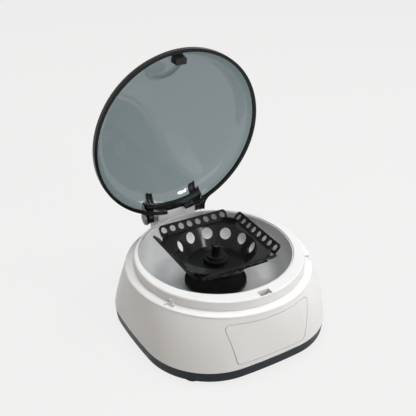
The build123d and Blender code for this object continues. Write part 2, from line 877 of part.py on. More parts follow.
with BuildPart() as motor_plate:
    with BuildSketch(Plane.XY.offset(motor_top_z)):
        with Locations((0, axis_back)):
            RectangleRounded(2 * motor_plate_half, 2 * motor_plate_half, motor_plate_corner)
            Circle(motor_neck_radius + screw_fit, mode=Mode.SUBTRACT)
            with GridLocations(mount_pitch, mount_pitch, 2, 2):
                Circle(screw_radius + screw_fit, mode=Mode.SUBTRACT)
            with PolarLocations(plate_screw_ring, plate_screw_count, start_angle=45):
                Circle(screw_radius + screw_fit, mode=Mode.SUBTRACT)
            with PolarLocations(motor_screw_ring, motor_screw_count):
                Circle(screw_radius + screw_fit, mode=Mode.SUBTRACT)
    extrude(amount=motor_plate_thickness)
    # Recesses for the mount screws' heads, so that the liner can lie on the plate
    with BuildSketch(Plane.XY.offset(mount_head_z)):
        with Locations((0, axis_back)):
            with GridLocations(mount_pitch, mount_pitch, 2, 2):
                Circle(screw_head_radius + screw_fit)
    extrude(amount=motor_plate_thickness, mode=Mode.SUBTRACT)
save(motor_plate, "motor_plate")

with BuildPart() as plate_screws:
    with BuildSketch(Plane.XY.offset(liner_floor_z)):
        with Locations((0, axis_back)):
            with PolarLocations(plate_screw_ring, plate_screw_count, start_angle=45):
                Circle(screw_head_radius)
    extrude(amount=screw_head_height)
    with BuildSketch(Plane.XY.offset(liner_floor_z)):
        with Locations((0, axis_back)):
            with PolarLocations(plate_screw_ring, plate_screw_count, start_angle=45):
                Circle(screw_radius)
    extrude(amount=-plate_screw_length)
save(plate_screws, "plate_screws")

with BuildPart() as motor_screws:
    with BuildSketch(Plane.XY.offset(liner_under_z)):
        with Locations((0, axis_back)):
            with PolarLocations(motor_screw_ring, motor_screw_count):
                Circle(screw_head_radius)
    extrude(amount=screw_head_height)
    with BuildSketch(Plane.XY.offset(liner_under_z)):
        with Locations((0, axis_back)):
            with PolarLocations(motor_screw_ring, motor_screw_count):
                Circle(screw_radius)
    extrude(amount=-motor_screw_length)
save(motor_screws, "motor_screws")

with BuildPart() as mount_screws:
    with BuildSketch(Plane.XY.offset(liner_under_z)):
        with Locations((0, axis_back)):
            with GridLocations(mount_pitch, mount_pitch, 2, 2):
                Circle(screw_head_radius)
    extrude(amount=-screw_head_height)
    with BuildSketch(Plane.XY.offset(liner_under_z)):
        with Locations((0, axis_back)):
            with GridLocations(mount_pitch, mount_pitch, 2, 2):
                Circle(screw_radius)
    extrude(amount=-mount_screw_length)
save(mount_screws, "mount_screws")

with BuildPart() as rubber_mounts:
    # Bobbins with a waist half way up
    with BuildSketch(Plane.XY.offset(post_top_z)):
        with Locations((0, axis_back)):
            with GridLocations(mount_pitch, mount_pitch, 2, 2):
                Circle(mount_radius)
    extrude(amount=mount_height)
    with BuildSketch(Plane.XY.offset(post_top_z + mount_height / 3)):
        with Locations((0, axis_back)):
            with GridLocations(mount_pitch, mount_pitch, 2, 2):
                Circle(mount_radius)
                Circle(mount_radius - mount_waist, mode=Mode.SUBTRACT)
    extrude(amount=mount_height / 3, mode=Mode.SUBTRACT)
    with BuildSketch(Plane.XY.offset(post_top_z)):
        with Locations((0, axis_back)):
            with GridLocations(mount_pitch, mount_pitch, 2, 2):
                Circle(screw_radius + screw_fit)
    extrude(amount=mount_height, mode=Mode.SUBTRACT)
save(rubber_mounts, "rubber_mounts")

with BuildPart() as motor:
    with BuildSketch(Plane.XY.offset(motor_top_z)):
        with Locations((0, axis_back)):
            Circle(motor_radius)
    extrude(amount=-motor_length)
    fillet(motor.edges().group_by(Axis.Z)[0], motor_round)
    with BuildSketch(Plane.XY.offset(motor_top_z)):
        with Locations((0, axis_back)):
            Circle(motor_neck_radius)
    extrude(amount=motor_plate_thickness)
    with BuildSketch(Plane.XY.offset(motor_top_z - motor_length)):
        with Locations((0, axis_back)):
            Circle(motor_bearing_radius)
    extrude(amount=-motor_bearing_height)
    with BuildSketch(Plane.XY.offset(liner_under_z)):
        with Locations((0, axis_back)):
            Circle(shaft_radius + running_gap)
    extrude(amount=-shaft_in_motor - seat_gap, mode=Mode.SUBTRACT)
    with BuildSketch(Plane.XY.offset(motor_top_z)):
        with Locations((0, axis_back)):
            with PolarLocations(motor_screw_ring, motor_screw_count):
                Circle(screw_radius + screw_fit)
    extrude(amount=-motor_screw_length, mode=Mode.SUBTRACT)
save(motor, "motor")

# Rotor

with BuildPart() as motor_shaft:
    with BuildSketch(Plane.XY.offset(liner_under_z - shaft_in_motor)):
        with Locations((0, axis_back)):
            Circle(shaft_radius)
    extrude(amount=hub_top_z + shaft_above_hub - liner_under_z + shaft_in_motor)
save(motor_shaft, "motor_shaft")

cone_angle = math.atan2(cone_top_radius - cone_floor_radius, cone_depth)
cone_side = cone_wall / math.cos(cone_angle)
tube_planes = []
for k in range(tube_hole_count):
    turn = math.radians((k + 0.5) * 360 / tube_hole_count)
    rise = (tube_hole_ring - cone_floor_radius) / math.tan(cone_angle)
    centre = (
        tube_hole_ring * math.cos(turn),
        tube_hole_ring * math.sin(turn),
        cone_floor_z + rise,
    )
    outward = (
        math.cos(cone_angle) * math.cos(turn),
        math.cos(cone_angle) * math.sin(turn),
        -math.sin(cone_angle),
    )
    upward = (
        math.sin(cone_angle) * math.cos(turn),
        math.sin(cone_angle) * math.sin(turn),
        math.cos(cone_angle),
    )
    tube_planes.append(moved(rotor_at, Plane(centre, x_dir=upward, z_dir=outward)))

with BuildPart() as rotor_cup:
    # Square deck with sloping sides, its corners round
    deck_under = deck_z - deck_thickness
    with BuildSketch(moved(rotor_at, Plane.XY.offset(deck_under))):
        Rectangle(2 * (deck_half + deck_thickness), 2 * (deck_half + deck_thickness))
    extrude(amount=deck_thickness, taper=45)
    with BuildSketch(moved(rotor_at, Plane.XY.offset(deck_z))):
        Rectangle(2 * deck_half, 2 * deck_half)
        Circle(deck_corner_radius - corner_wall_thickness, mode=Mode.SUBTRACT)
    extrude(amount=corner_wall_height)
    with BuildSketch(moved(rotor_at, Plane.XY.offset(deck_under))):
        Circle(deck_corner_radius)
    extrude(amount=deck_thickness + corner_wall_height, mode=Mode.INTERSECT)
    # Cone below the deck, and the sleeve that seats on the shaft
    with BuildSketch(moved(rotor_at, Plane.XZ)):
        with BuildLine():
            floor_out = cone_floor_radius + cone_side - cone_wall * math.tan(cone_angle)
            deck_rise = cone_depth - deck_thickness
            deck_out = cone_floor_radius + cone_side + deck_rise * math.tan(cone_angle)
            Polyline(
                (0, rotor_seat_z),
                (hub_sleeve_radius, rotor_seat_z),
                (hub_sleeve_radius, cone_floor_z - cone_wall),
                (floor_out, cone_floor_z - cone_wall),
                (deck_out, deck_under),
                (0, deck_under),
                close=True,
            )
        make_face()
    revolve(axis=rotor_axis)
    with BuildSketch(moved(rotor_at, Plane.XZ)):
        with BuildLine():
            over = corner_wall_height
            Polyline(
                (0, cone_floor_z),
                (cone_floor_radius, cone_floor_z),
                (cone_top_radius, deck_z),
                (cone_top_radius, deck_z + over),
                (0, deck_z + over),
                close=True,
            )
        make_face()
    revolve(axis=rotor_axis, mode=Mode.SUBTRACT)
    # Hub with a step
    with BuildSketch(moved(rotor_at, Plane.XY.offset(cone_floor_z))):
        Circle(hub_radius)
    extrude(amount=hub_height)
    with BuildSketch(moved(rotor_at, Plane.XY.offset(cone_floor_z + hub_height))):
        Circle(hub_step_radius)
    extrude(amount=hub_step_height)
    with BuildSketch(moved(rotor_at, Plane.XY.offset(rotor_seat_z))):
        Circle(shaft_radius + fixed_bore_gap)
    extrude(amount=hub_top_z - rotor_seat_z, mode=Mode.SUBTRACT)
    # Tube holes square to the cone
    with BuildSketch(*tube_planes):
        Circle(tube_hole_radius)
    extrude(amount=2 * cone_wall, both=True, mode=Mode.SUBTRACT)
save(rotor_cup, "rotor_cup")

for quarter, side in enumerate(("front", "right", "back", "left")):
    turn = math.radians(90 * quarter - 90)
    outward = Vector(math.cos(turn), math.sin(turn), 0)
    up_in = Vector(0, 0, math.cos(math.radians(flange_tilt)))
    up_in = up_in - outward * math.sin(math.radians(flange_tilt))
    fold = outward * deck_half + Vector(0, 0, deck_z)
    along = outward.cross(Vector(0, 0, 1))
    with BuildPart() as strip_flange:
        with BuildSketch(moved(rotor_at, Plane(fold, x_dir=along, z_dir=up_in))):
            with BuildLine():
                Polyline(
                    (-flange_half_length, seat_gap),
                    (flange_half_length, seat_gap),
                    (flange_half_length, flange_width - flange_end_chamfer),
                    (flange_half_length - flange_end_chamfer, flange_width),
                    (flange_end_chamfer - flange_half_length, flange_width),
                    (-flange_half_length, flange_width - flange_end_chamfer),
                    close=True,
                )
            make_face()
            with Locations((0, strip_hole_above_fold)):
                with GridLocations(strip_pitch, 1, strip_hole_count, 1):
                    Circle(strip_hole_radius, mode=Mode.SUBTRACT)
        extrude(amount=-flange_thickness)
    save(strip_flange, f"strip_flange_{side}")

with BuildPart() as rotor_nut:
    with BuildSketch(moved(rotor_at, Plane.XY.offset(hub_top_z))):
        Circle(nut_radius)
    extrude(amount=nut_height)
    fillet(rotor_nut.edges().group_by(Axis.Z)[-1], nut_round)
    with BuildSketch(moved(rotor_at, Plane.XY.offset(hub_top_z))):
        Circle(shaft_radius + fixed_bore_gap)
    extrude(amount=shaft_above_hub + seat_gap, mode=Mode.SUBTRACT)
save(rotor_nut, "rotor_nut")

# Lid, modelled on the closed lid's planes and swung open with them

with BuildPart() as dome_hollow:
    add(dome_form(dome_wall, 0.0))
    with Locations(recess_at):
        Sphere(recess_radius + dome_wall, mode=Mode.SUBTRACT)

with BuildPart() as lid_dome:
    add(dome_form(0.0, dome_seat))
    with Locations(recess_at):
        Sphere(recess_radius, mode=Mode.SUBTRACT)
    # Ears that cover the ends of the hinge pin
    for ear_start in (knuckle_outer + ear_gap, -knuckle_outer - ear_gap - ear_thickness):
        with BuildSketch(opened(Plane.YZ.offset(ear_start))):
            with Locations((hinge_y, hinge_z)):
                Circle(ear_radius)
            with BuildLine():
                Polyline(
                    (dome_radius - shoulder_radius, hinge_z - ear_radius),
                    (hinge_y, hinge_z - ear_radius),
                    (hinge_y, hinge_z + ear_radius),
                    (dome_radius - shoulder_radius, hinge_z + ear_radius),
                    close=True,
                )
            make_face()
        extrude(amount=ear_thickness)
    add(dome_hollow.part, mode=Mode.SUBTRACT)
    # Notches for the bracket's links
    notch_width = knuckle_outer + ear_gap - knuckle_inner + notch_gap
    for notch_start in (knuckle_inner - notch_gap, -knuckle_outer - ear_gap):
        with BuildSketch(opened(Plane.YZ.offset(notch_start))):
            with BuildLine():
                notch_top = ledge_z + bracket_top + notch_above_link
                Polyline(
                    (dome_radius - shoulder_radius, ledge_z),
                    (hinge_y + knuckle_radius, ledge_z),
                    (hinge_y + knuckle_radius, notch_top),
                    (dome_radius - shoulder_radius, notch_top),
                    close=True,
                )
            make_face()
        extrude(amount=notch_width, mode=Mode.SUBTRACT)
    # Notch over the hinge tower, up to the bracket
    with BuildSketch(opened(Plane.YZ.offset(-rim_gap_half))):
        with BuildLine():
            Polyline(
                (dome_radius - shoulder_radius, ledge_z),
                (hinge_y, ledge_z),
                (hinge_y, ledge_z + bracket_bottom),
                (dome_radius - shoulder_radius, ledge_z + bracket_bottom),
                close=True,
            )
        make_face()
    extrude(amount=2 * rim_gap_half, mode=Mode.SUBTRACT)
save(lid_dome, "lid_dome")

with BuildPart() as lid_rim:
    with BuildSketch(opened(Plane.XY.offset(lid_bottom_z))):
        Circle(rim_outer_radius)
        Circle(rim_inner_radius, mode=Mode.SUBTRACT)
    extrude(amount=rim_height - rim_lift)
    add(dome_form(-seat_gap, dome_seat - seat_gap), mode=Mode.SUBTRACT)
    # Gap at the hinge tower
    with BuildSketch(opened(Plane.XY.offset(lid_bottom_z))):
        with Locations((0, rim_inner_radius)):
            Rectangle(2 * rim_gap_half, 4 * (rim_outer_radius - rim_inner_radius))
    extrude(amount=rim_height, mode=Mode.SUBTRACT)
    # Above the dome's edge, a gap from ear to ear
    with BuildSketch(opened(Plane.XY.offset(ledge_z + dome_seat - seat_gap))):
        with Locations((0, rim_inner_radius)):
            Rectangle(2 * (knuckle_outer + 2 * ear_gap + ear_thickness), rim_outer_radius / 2)
    extrude(amount=rim_height, mode=Mode.SUBTRACT)
save(lid_rim, "lid_rim")

with BuildPart() as bracket_ribs:
    inner_face = dome_wall + bracket_seat_gap + bracket_thickness
    with BuildSketch(opened(Plane.XZ.offset(rim_inner_radius / -2))):
        rib_first = arm_top_inner + rib_inset + rib_width / 2
        rib_second = arm_top_outer - rib_inset - rib_width / 2
        rib_mid_z = ledge_z + (rib_bottom + rib_top) / 2
        with Locations(
            (-rib_second, rib_mid_z),
            (-rib_first, rib_mid_z),
            (rib_first, rib_mid_z),
            (rib_second, rib_mid_z),
        ):
            Rectangle(rib_width, rib_top - rib_bottom)
    extrude(amount=-rim_outer_radius)
    add(dome_form(inner_face - rib_height / 4, 0.0), mode=Mode.INTERSECT)
    add(dome_form(inner_face + rib_height, 0.0), mode=Mode.SUBTRACT)

with BuildPart() as hinge_bracket:
    add(dome_form(dome_wall + bracket_seat_gap, 0.0))
    # Band across the rear, two bosses and two arms
    with BuildSketch(opened(Plane.XZ.offset(rim_inner_radius / -2))):
        with Locations((0, ledge_z + (bracket_bottom + bracket_top) / 2)):
            Rectangle(2 * knuckle_outer, bracket_top - bracket_bottom)
        boss_at = (boss_inner + knuckle_outer) / 2
        boss_mid_z = ledge_z + (bracket_bottom + boss_top) / 2
        with Locations((-boss_at, boss_mid_z), (boss_at, boss_mid_z)):
            Rectangle(knuckle_outer - boss_inner, boss_top - bracket_bottom)
        arm_at = (arm_top_inner + arm_top_outer) / 2
        arm_mid_z = ledge_z + (bracket_bottom + arm_top) / 2
        with Locations((-arm_at, arm_mid_z), (arm_at, arm_mid_z)):
            Rectangle(arm_top_outer - arm_top_inner, arm_top - bracket_bottom)
    extrude(amount=-rim_outer_radius, mode=Mode.INTERSECT)
    # Links through the dome's notches to the knuckles
    for link_start in (knuckle_inner, -knuckle_outer):
        with BuildSketch(opened(Plane.YZ.offset(link_start))):
            with Locations((hinge_y, hinge_z)):
                Circle(knuckle_radius)
            with BuildLine():
                Polyline(
                    (dome_radius - shoulder_radius, ledge_z + bracket_bottom),
                    (hinge_y, ledge_z + bracket_bottom),
                    (hinge_y, ledge_z + bracket_top),
                    (dome_radius - shoulder_radius, ledge_z + bracket_top),
                    close=True,
                )
            make_face()
        extrude(amount=knuckle_outer - knuckle_inner)
    add(dome_form(inner_face, 0.0), mode=Mode.SUBTRACT)
    add(bracket_ribs.part)
    with BuildSketch(opened(Plane.YZ.offset(-knuckle_outer))):
        with Locations((hinge_y, hinge_z)):
            Circle(hinge_pin_radius + running_gap)
    extrude(amount=2 * knuckle_outer, mode=Mode.SUBTRACT)
save(hinge_bracket, "hinge_bracket")

with BuildPart() as latch_tongue:
    add(dome_form(dome_wall + tongue_seat_gap, 0.0))
    with Locations(recess_at):
        Sphere(recess_radius + dome_wall + tongue_seat_gap, mode=Mode.SUBTRACT)
    # Side view
    with BuildSketch(opened(Plane.YZ.offset(-tongue_half))):
        with BuildLine():
            tongue_over = ledge_z + shoulder_radius
            tongue_shoulder = ledge_z + tongue_shoulder_height
            Polyline(
                (-tongue_front, tongue_tip_z),
                (-tongue_back, tongue_tip_z),
                (-tongue_back, tongue_over),
                (-tongue_shoulder_front, tongue_over),
                (-tongue_shoulder_front, tongue_shoulder),
                (-tongue_front, tongue_shoulder),
                close=True,
            )
        make_face()
    extrude(amount=2 * tongue_half, mode=Mode.INTERSECT)
    # Front view, with the bevelled tip and the notch for the catch
    with BuildSketch(opened(Plane.XZ)):
        with BuildLine():
            notch_low = catch_z - tongue_notch_size / 2
            notch_high = catch_z + tongue_notch_size / 2
            notch_in = tongue_half - tongue_notch_depth
            Polyline(
                (-tongue_half, tongue_tip_z),
                (tongue_half - tongue_bevel, tongue_tip_z),
                (tongue_half, tongue_tip_z + tongue_bevel),
                (tongue_half, notch_low),
                (notch_in, notch_low),
                (notch_in, notch_high),
                (tongue_half, notch_high),
                (tongue_half, tongue_over),
                (-tongue_half, tongue_over),
                close=True,
            )
        make_face()
    extrude(amount=dome_radius, mode=Mode.INTERSECT)
save(latch_tongue, "latch_tongue")

# Hinge pin and its spring

with BuildPart() as hinge_pin:
    with BuildSketch(Plane.YZ.offset(-knuckle_outer)):
        with Locations((hinge_y, hinge_z)):
            Circle(hinge_pin_radius)
    extrude(amount=2 * knuckle_outer)
save(hinge_pin, "hinge_pin")

with BuildPart() as hinge_spring:
    with BuildLine() as hinge_spring_path:
        coil(
            Vector(-tower_half + spring_end_gap + spring_wire / 2, hinge_y, hinge_z),
            spring_coil_radius,
            spring_room - 2 * spring_end_gap - spring_wire,
            spring_turns,
            spring_leg,
        )
    hinge_spring_route = hinge_spring_path.wire()
    with BuildSketch(Plane(hinge_spring_route @ 0, z_dir=hinge_spring_route % 0)):
        Circle(spring_wire / 2)
    sweep(path=hinge_spring_route)
save(hinge_spring, "hinge_spring")
print("hinge spring, least gap:", least_gap(hinge_spring_route, spring_wire))

# Board, inlet and switch at the rear

with BuildPart() as circuit_board:
    with BuildSketch(Plane.XY.offset(board_z)):
        with Locations((0, board_y)):
            Rectangle(board_width, board_depth)
            with GridLocations(board_hole_x, board_hole_y, 2, 2):
                Circle(board_screw_radius + screw_fit, mode=Mode.SUBTRACT)
    extrude(amount=board_thickness)
save(circuit_board, "circuit_board")

with BuildPart() as board_screws:
    with BuildSketch(Plane.XY.offset(board_z + board_thickness)):
        with Locations((0, board_y)):
            with GridLocations(board_hole_x, board_hole_y, 2, 2):
                Circle(board_screw_head)
    extrude(amount=board_screw_head_height)
    with BuildSketch(Plane.XY.offset(board_z + board_thickness)):
        with Locations((0, board_y)):
            with GridLocations(board_hole_x, board_hole_y, 2, 2):
                Circle(board_screw_radius)
    extrude(amount=-board_screw_length)
save(board_screws, "board_screws")

with BuildPart() as board_parts:
    # Two capacitors, the motor's connector and a chip
    with BuildSketch(Plane.XY.offset(board_z + board_thickness)):
        with Locations((0, board_y)):
            with Locations((board_width / 4, 0), (board_width / 4 + 3 * capacitor_radius, 0)):
                Circle(capacitor_radius)
    extrude(amount=capacitor_height)
    with BuildSketch(Plane.XY.offset(board_z + board_thickness)):
        with Locations((0, board_y - board_depth / 4)):
            Rectangle(connector_width, connector_depth)
    extrude(amount=connector_height)
    with BuildSketch(Plane.XY.offset(board_z + board_thickness)):
        with Locations((-board_width / 4, board_y)):
            Rectangle(chip_size, chip_size)
    extrude(amount=chip_height)
save(board_parts, "board_parts")

with BuildPart() as power_inlet:
    with BuildSketch(Plane.XZ.offset(-rear_pocket_y)):
        with Locations((inlet_x, rear_mid_z)):
            Circle(inlet_radius)
    extrude(amount=inlet_length)
    with BuildSketch(Plane.XZ.offset(-rear_pocket_y)):
        with Locations((inlet_x, rear_mid_z)):
            Circle(inlet_flange_radius)
    extrude(amount=-inlet_flange_thickness)
    with BuildSketch(Plane.XZ.offset(-rear_pocket_y - inlet_flange_thickness)):
        with Locations((inlet_x, rear_mid_z)):
            Circle(inlet_socket_radius)
            Circle(inlet_pin_radius, mode=Mode.SUBTRACT)
    extrude(amount=inlet_socket_depth, mode=Mode.SUBTRACT)
save(power_inlet, "power_inlet")

with BuildPart() as inlet_nut:
    with BuildSketch(Plane.XZ.offset(rear_plate_thickness - rear_pocket_y)):
        with Locations((inlet_x, rear_mid_z)):
            RegularPolygon(inlet_nut_radius, 6)
            Circle(inlet_radius + seat_gap, mode=Mode.SUBTRACT)
    extrude(amount=inlet_nut_thickness)
save(inlet_nut, "inlet_nut")

with BuildPart() as switch_bezel:
    with BuildSketch(Plane.XZ.offset(-rear_pocket_y)):
        with Locations((switch_x, rear_mid_z)):
            Rectangle(bezel_inner_width + 2 * bezel_wall, bezel_inner_height + 2 * bezel_wall)
    extrude(amount=switch_length)
    with BuildSketch(Plane.XZ.offset(-rear_pocket_y)):
        with Locations((switch_x, rear_mid_z)):
            Rectangle(
                bezel_inner_width + 2 * (bezel_wall + bezel_border),
                bezel_inner_height + 2 * (bezel_wall + bezel_border),
            )
    extrude(amount=-bezel_thickness)
    with BuildSketch(Plane.XZ.offset(-rear_pocket_y - bezel_thickness)):
        with Locations((switch_x, rear_mid_z)):
            Rectangle(bezel_inner_width, bezel_inner_height)
    extrude(amount=rocker_pivot_depth + rocker_radius + rocker_gap, mode=Mode.SUBTRACT)
    axle_length = rocker_width + 2 * (rocker_gap + rocker_axle_reach)
    with BuildSketch(Plane.YZ.offset(switch_x - axle_length / 2 - seat_gap)):
        with Locations((rocker_pivot_y, rear_mid_z)):
            Circle(rocker_axle_radius + running_gap)
    extrude(amount=axle_length + 2 * seat_gap, mode=Mode.SUBTRACT)
    # Terminals
    with BuildSketch(Plane.XZ.offset(switch_length - rear_pocket_y)):
        with Locations(
            (switch_x, rear_mid_z - terminal_spacing / 2),
            (switch_x, rear_mid_z + terminal_spacing / 2),
        ):
            Rectangle(terminal_width, terminal_thickness)
    extrude(amount=terminal_length)
save(switch_bezel, "switch_bezel")

with BuildPart() as power_rocker:
    rocker_at = Location((switch_x, rocker_pivot_y, rear_mid_z), (rocker_tilt, 0, 0))
    with BuildSketch(moved(rocker_at, Plane.YZ.offset(-rocker_width / 2))):
        with BuildLine():
            face_edge = rocker_face + rocker_radius * math.tan(math.radians(rocker_face_slope))
            Polyline(
                (rocker_face, 0),
                (face_edge, rocker_radius),
                (-rocker_back, rocker_radius),
                (-rocker_back, -rocker_radius),
                (face_edge, -rocker_radius),
                close=True,
            )
        make_face()
        Circle(rocker_radius, mode=Mode.INTERSECT)
    extrude(amount=rocker_width)
    with BuildSketch(moved(rocker_at, Plane.YZ.offset(-axle_length / 2))):
        Circle(rocker_axle_radius)
    extrude(amount=axle_length)
save(power_rocker, "power_rocker")
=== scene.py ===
"""Looks of the mini centrifuge: the clear lid, materials, light and camera. Metres, the CAD's frame."""

import json
import math

import bmesh
import bpy
from mathutils import Matrix, Vector


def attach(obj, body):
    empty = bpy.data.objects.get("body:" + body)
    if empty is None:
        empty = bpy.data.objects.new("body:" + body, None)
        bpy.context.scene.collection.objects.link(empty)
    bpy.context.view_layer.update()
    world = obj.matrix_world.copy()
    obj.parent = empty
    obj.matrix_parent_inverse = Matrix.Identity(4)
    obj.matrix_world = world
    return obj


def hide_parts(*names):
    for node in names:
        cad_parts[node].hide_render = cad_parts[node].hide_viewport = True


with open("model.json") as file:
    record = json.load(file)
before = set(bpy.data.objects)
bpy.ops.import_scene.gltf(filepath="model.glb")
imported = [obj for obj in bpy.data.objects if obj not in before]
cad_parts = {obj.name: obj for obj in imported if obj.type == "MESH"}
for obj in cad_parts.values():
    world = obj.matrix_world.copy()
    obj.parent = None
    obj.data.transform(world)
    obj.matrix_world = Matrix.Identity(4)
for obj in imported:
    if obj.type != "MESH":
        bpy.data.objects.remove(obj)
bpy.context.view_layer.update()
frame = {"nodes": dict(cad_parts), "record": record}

# Lid, as in the CAD
ledge_z = 0.0615
hinge_y = 0.08857
hinge_z = 0.06958
lid_open_angle = 84.36
dome_radius = 0.0847
dome_wall = 0.0022
dome_seat = 0.0012
shoulder_radius = 0.020
crown_radius = 0.260
recess_centre = (-0.0098, -0.0818, 0.1205)
recess_radius = 0.0467
recess_blend = 0.0012

# The lid's hinge ears, the webs beside them, their black edge and the notches at the hinge
ear_start = 0.02975
ear_thickness = 0.0022
ear_radius = 0.0066
web_front = 0.0750
trim_blend = 0.0128
trim_thickness = 0.00055
trim_rear = 0.0915
trim_low = 0.0618
trim_high = 0.0660
notch_start = 0.0235
notch_end = ear_start
notch_top = 0.0722
notch_reach = 0.0946
tower_notch_half = 0.0102
tower_notch_top = 0.0665
cut_over = 0.004

# How finely the curves are drawn
dome_turns = 288
shoulder_steps = 40
crown_steps = 110
ear_turns = 24
trim_steps = 16
smooth_angle = 40

# Camera: where the photograph was taken from
camera_place = (-0.29850, -0.48014, 0.43226)
camera_azimuth = -30.838
camera_elevation = 29.250
camera_roll = 0.368
camera_focal_pixels = 733.68
image_pixels = 416
sensor_width = 36.0
camera_clip = (0.01, 20.0)

# Surroundings: what the camera, gloss and glass see, and what lights the object
background_level = 0.90
ceiling_level = 0.64
ceiling_rise = (0.30, 0.75)
world_colour = (1.0, 0.93, 0.82)
world_level = 0.13
floor_half = 4.0
floor_colour = (0.66, 0.635, 0.60)
floor_glow = 0.90
lamp_aim = (0, 0, 0.05)

# Clear smoked plastic
smoke_colour = (0.052, 0.175, 0.197)
smoke_density = 640.0
clear_ior = 1.49
smudge_scale = 35.0
smudge_roughness = (0.015, 0.06)
ripple_scale = 45.0
ripple_strength = 0.12
ripple_depth = 0.0002

# Plastic and metal: patches, wear and edges, scales in waves per metre
bevel_samples = 4
patch_scale = 28.0
scuff_scale = 160.0
scuff_range = (0.45, 0.62)
worn_range = (0.985, 0.80)
shine_scale = 70.0
grain_strength = 0.25
line_strength = 0.2

# Satin metal of the bowl
liner_colours = ((0.68, 0.68, 0.68), (0.80, 0.80, 0.80))
liner_roughness = (0.42, 0.54)
liner_cloud_scale = 22.0
liner_ring_scale = 500.0
liner_ring_stretch = (0.05, 0.05, 1.0)
liner_ring_strength = 0.12
liner_ring_depth = 0.00005
liner_edge = 0.0003

lid_turn = (
    Matrix.Translation((0, hinge_y, hinge_z))
    @ Matrix.Rotation(math.radians(-lid_open_angle), 4, "X")
    @ Matrix.Translation((0, -hinge_y, -hinge_z))
)


# Material helpers


def node(tree, kind, **values):
    """New shader node with its properties and its inputs' values set."""
    made = tree.nodes.new(kind)
    for name, value in values.items():
        if name in made.inputs:
            made.inputs[name].default_value = value
        else:
            setattr(made, name, value)
    return made


def new_material(name):
    """Material with an empty principled shader; returns material, tree and shader."""
    material = bpy.data.materials.new(name)
    material.use_nodes = True
    tree = material.node_tree
    tree.nodes.clear()
    output = tree.nodes.new("ShaderNodeOutputMaterial")
    shader = tree.nodes.new("ShaderNodeBsdfPrincipled")
    tree.links.new(shader.outputs[0], output.inputs[0])
    return material, tree, shader


def noise(tree, scale, detail=3.0, stretch=(1, 1, 1)):
    """Noise in object space, its scale in waves per metre."""
    place = tree.nodes.new("ShaderNodeTexCoord")
    mapping = tree.nodes.new("ShaderNodeMapping")
    mapping.inputs["Scale"].default_value = stretch
    texture = tree.nodes.new("ShaderNodeTexNoise")
    texture.inputs["Scale"].default_value = scale
    texture.inputs["Detail"].default_value = detail
    tree.links.new(place.outputs["Object"], mapping.inputs["Vector"])
    tree.links.new(mapping.outputs[0], texture.inputs["Vector"])
    return texture.outputs["Fac"]


def ranged(tree, value, low, high, start=0.3, end=0.7):
    """The value's start to end, carried to low to high."""
    span = tree.nodes.new("ShaderNodeMapRange")
    span.inputs["From Min"].default_value = start
    span.inputs["From Max"].default_value = end
    span.inputs["To Min"].default_value = low
    span.inputs["To Max"].default_value = high
    tree.links.new(value, span.inputs["Value"])
    return span.outputs[0]


def mixed(tree, factor, first, second):
    """Colour between two colours or sockets by a factor socket."""
    mix = tree.nodes.new("ShaderNodeMix")
    mix.data_type = "RGBA"
    tree.links.new(factor, mix.inputs[0])
    for at, colour in ((6, first), (7, second)):
        if isinstance(colour, bpy.types.NodeSocket):
            tree.links.new(colour, mix.inputs[at])
        else:
            mix.inputs[at].default_value = (*colour, 1)
    return mix.outputs[2]


def edge_mask(tree, radius, start, end):
    """1 along the edges and 0 on the faces, from the bevelled normal."""
    bevel = tree.nodes.new("ShaderNodeBevel")
    bevel.samples = bevel_samples
    bevel.inputs["Radius"].default_value = radius
    shape = tree.nodes.new("ShaderNodeNewGeometry")
    dot = tree.nodes.new("ShaderNodeVectorMath")
    dot.operation = "DOT_PRODUCT"
    tree.links.new(bevel.outputs[0], dot.inputs[0])
    tree.links.new(shape.outputs["Normal"], dot.inputs[1])
    return ranged(tree, dot.outputs["Value"], 0.0, 1.0, start, end)


def rounded_bump(tree, shader, height, strength, distance, radius):
    """Fine bump on softly rounded edges."""
    bevel = tree.nodes.new("ShaderNodeBevel")
    bevel.samples = bevel_samples
    bevel.inputs["Radius"].default_value = radius
    bump = tree.nodes.new("ShaderNodeBump")
    bump.inputs["Strength"].default_value = strength
    bump.inputs["Distance"].default_value = distance
    tree.links.new(height, bump.inputs["Height"])
    tree.links.new(bevel.outputs[0], bump.inputs["Normal"])
    tree.links.new(bump.outputs[0], shader.inputs["Normal"])


def plastic(name, colour, other, worn, rough, grain, depth, edge=0.0004, gloss=0.5):
    """Moulded plastic: two near colours in soft patches, a grain, and paler worn edges."""
    material, tree, shader = new_material(name)
    shader.inputs["Specular IOR Level"].default_value = gloss
    patches = mixed(tree, ranged(tree, noise(tree, patch_scale), 0, 1), colour, other)
    edges = edge_mask(tree, edge, *worn_range)
    scuffs = ranged(tree, noise(tree, scuff_scale, 5.0), 0, 1, *scuff_range)
    worn_edges = tree.nodes.new("ShaderNodeMath")
    worn_edges.operation = "MULTIPLY"
    tree.links.new(edges, worn_edges.inputs[0])
    tree.links.new(scuffs, worn_edges.inputs[1])
    tree.links.new(mixed(tree, worn_edges.outputs[0], patches, worn), shader.inputs["Base Color"])
    tree.links.new(
        ranged(tree, noise(tree, shine_scale, 6.0), *rough), shader.inputs["Roughness"]
    )
    rounded_bump(tree, shader, noise(tree, grain, 2.0), grain_strength, depth, edge)
    return material


def metal(name, colour, other, rough, stretch, line_scale, depth, edge=0.0002):
    """Metal with fine lines along one direction."""
    material, tree, shader = new_material(name)
    shader.inputs["Metallic"].default_value = 1.0
    lines = noise(tree, line_scale, 4.0, stretch)
    tree.links.new(mixed(tree, ranged(tree, lines, 0, 1), colour, other), shader.inputs["Base Color"])
    tree.links.new(ranged(tree, lines, *rough), shader.inputs["Roughness"])
    rounded_bump(tree, shader, lines, line_strength, depth, edge)
    return material


# Materials


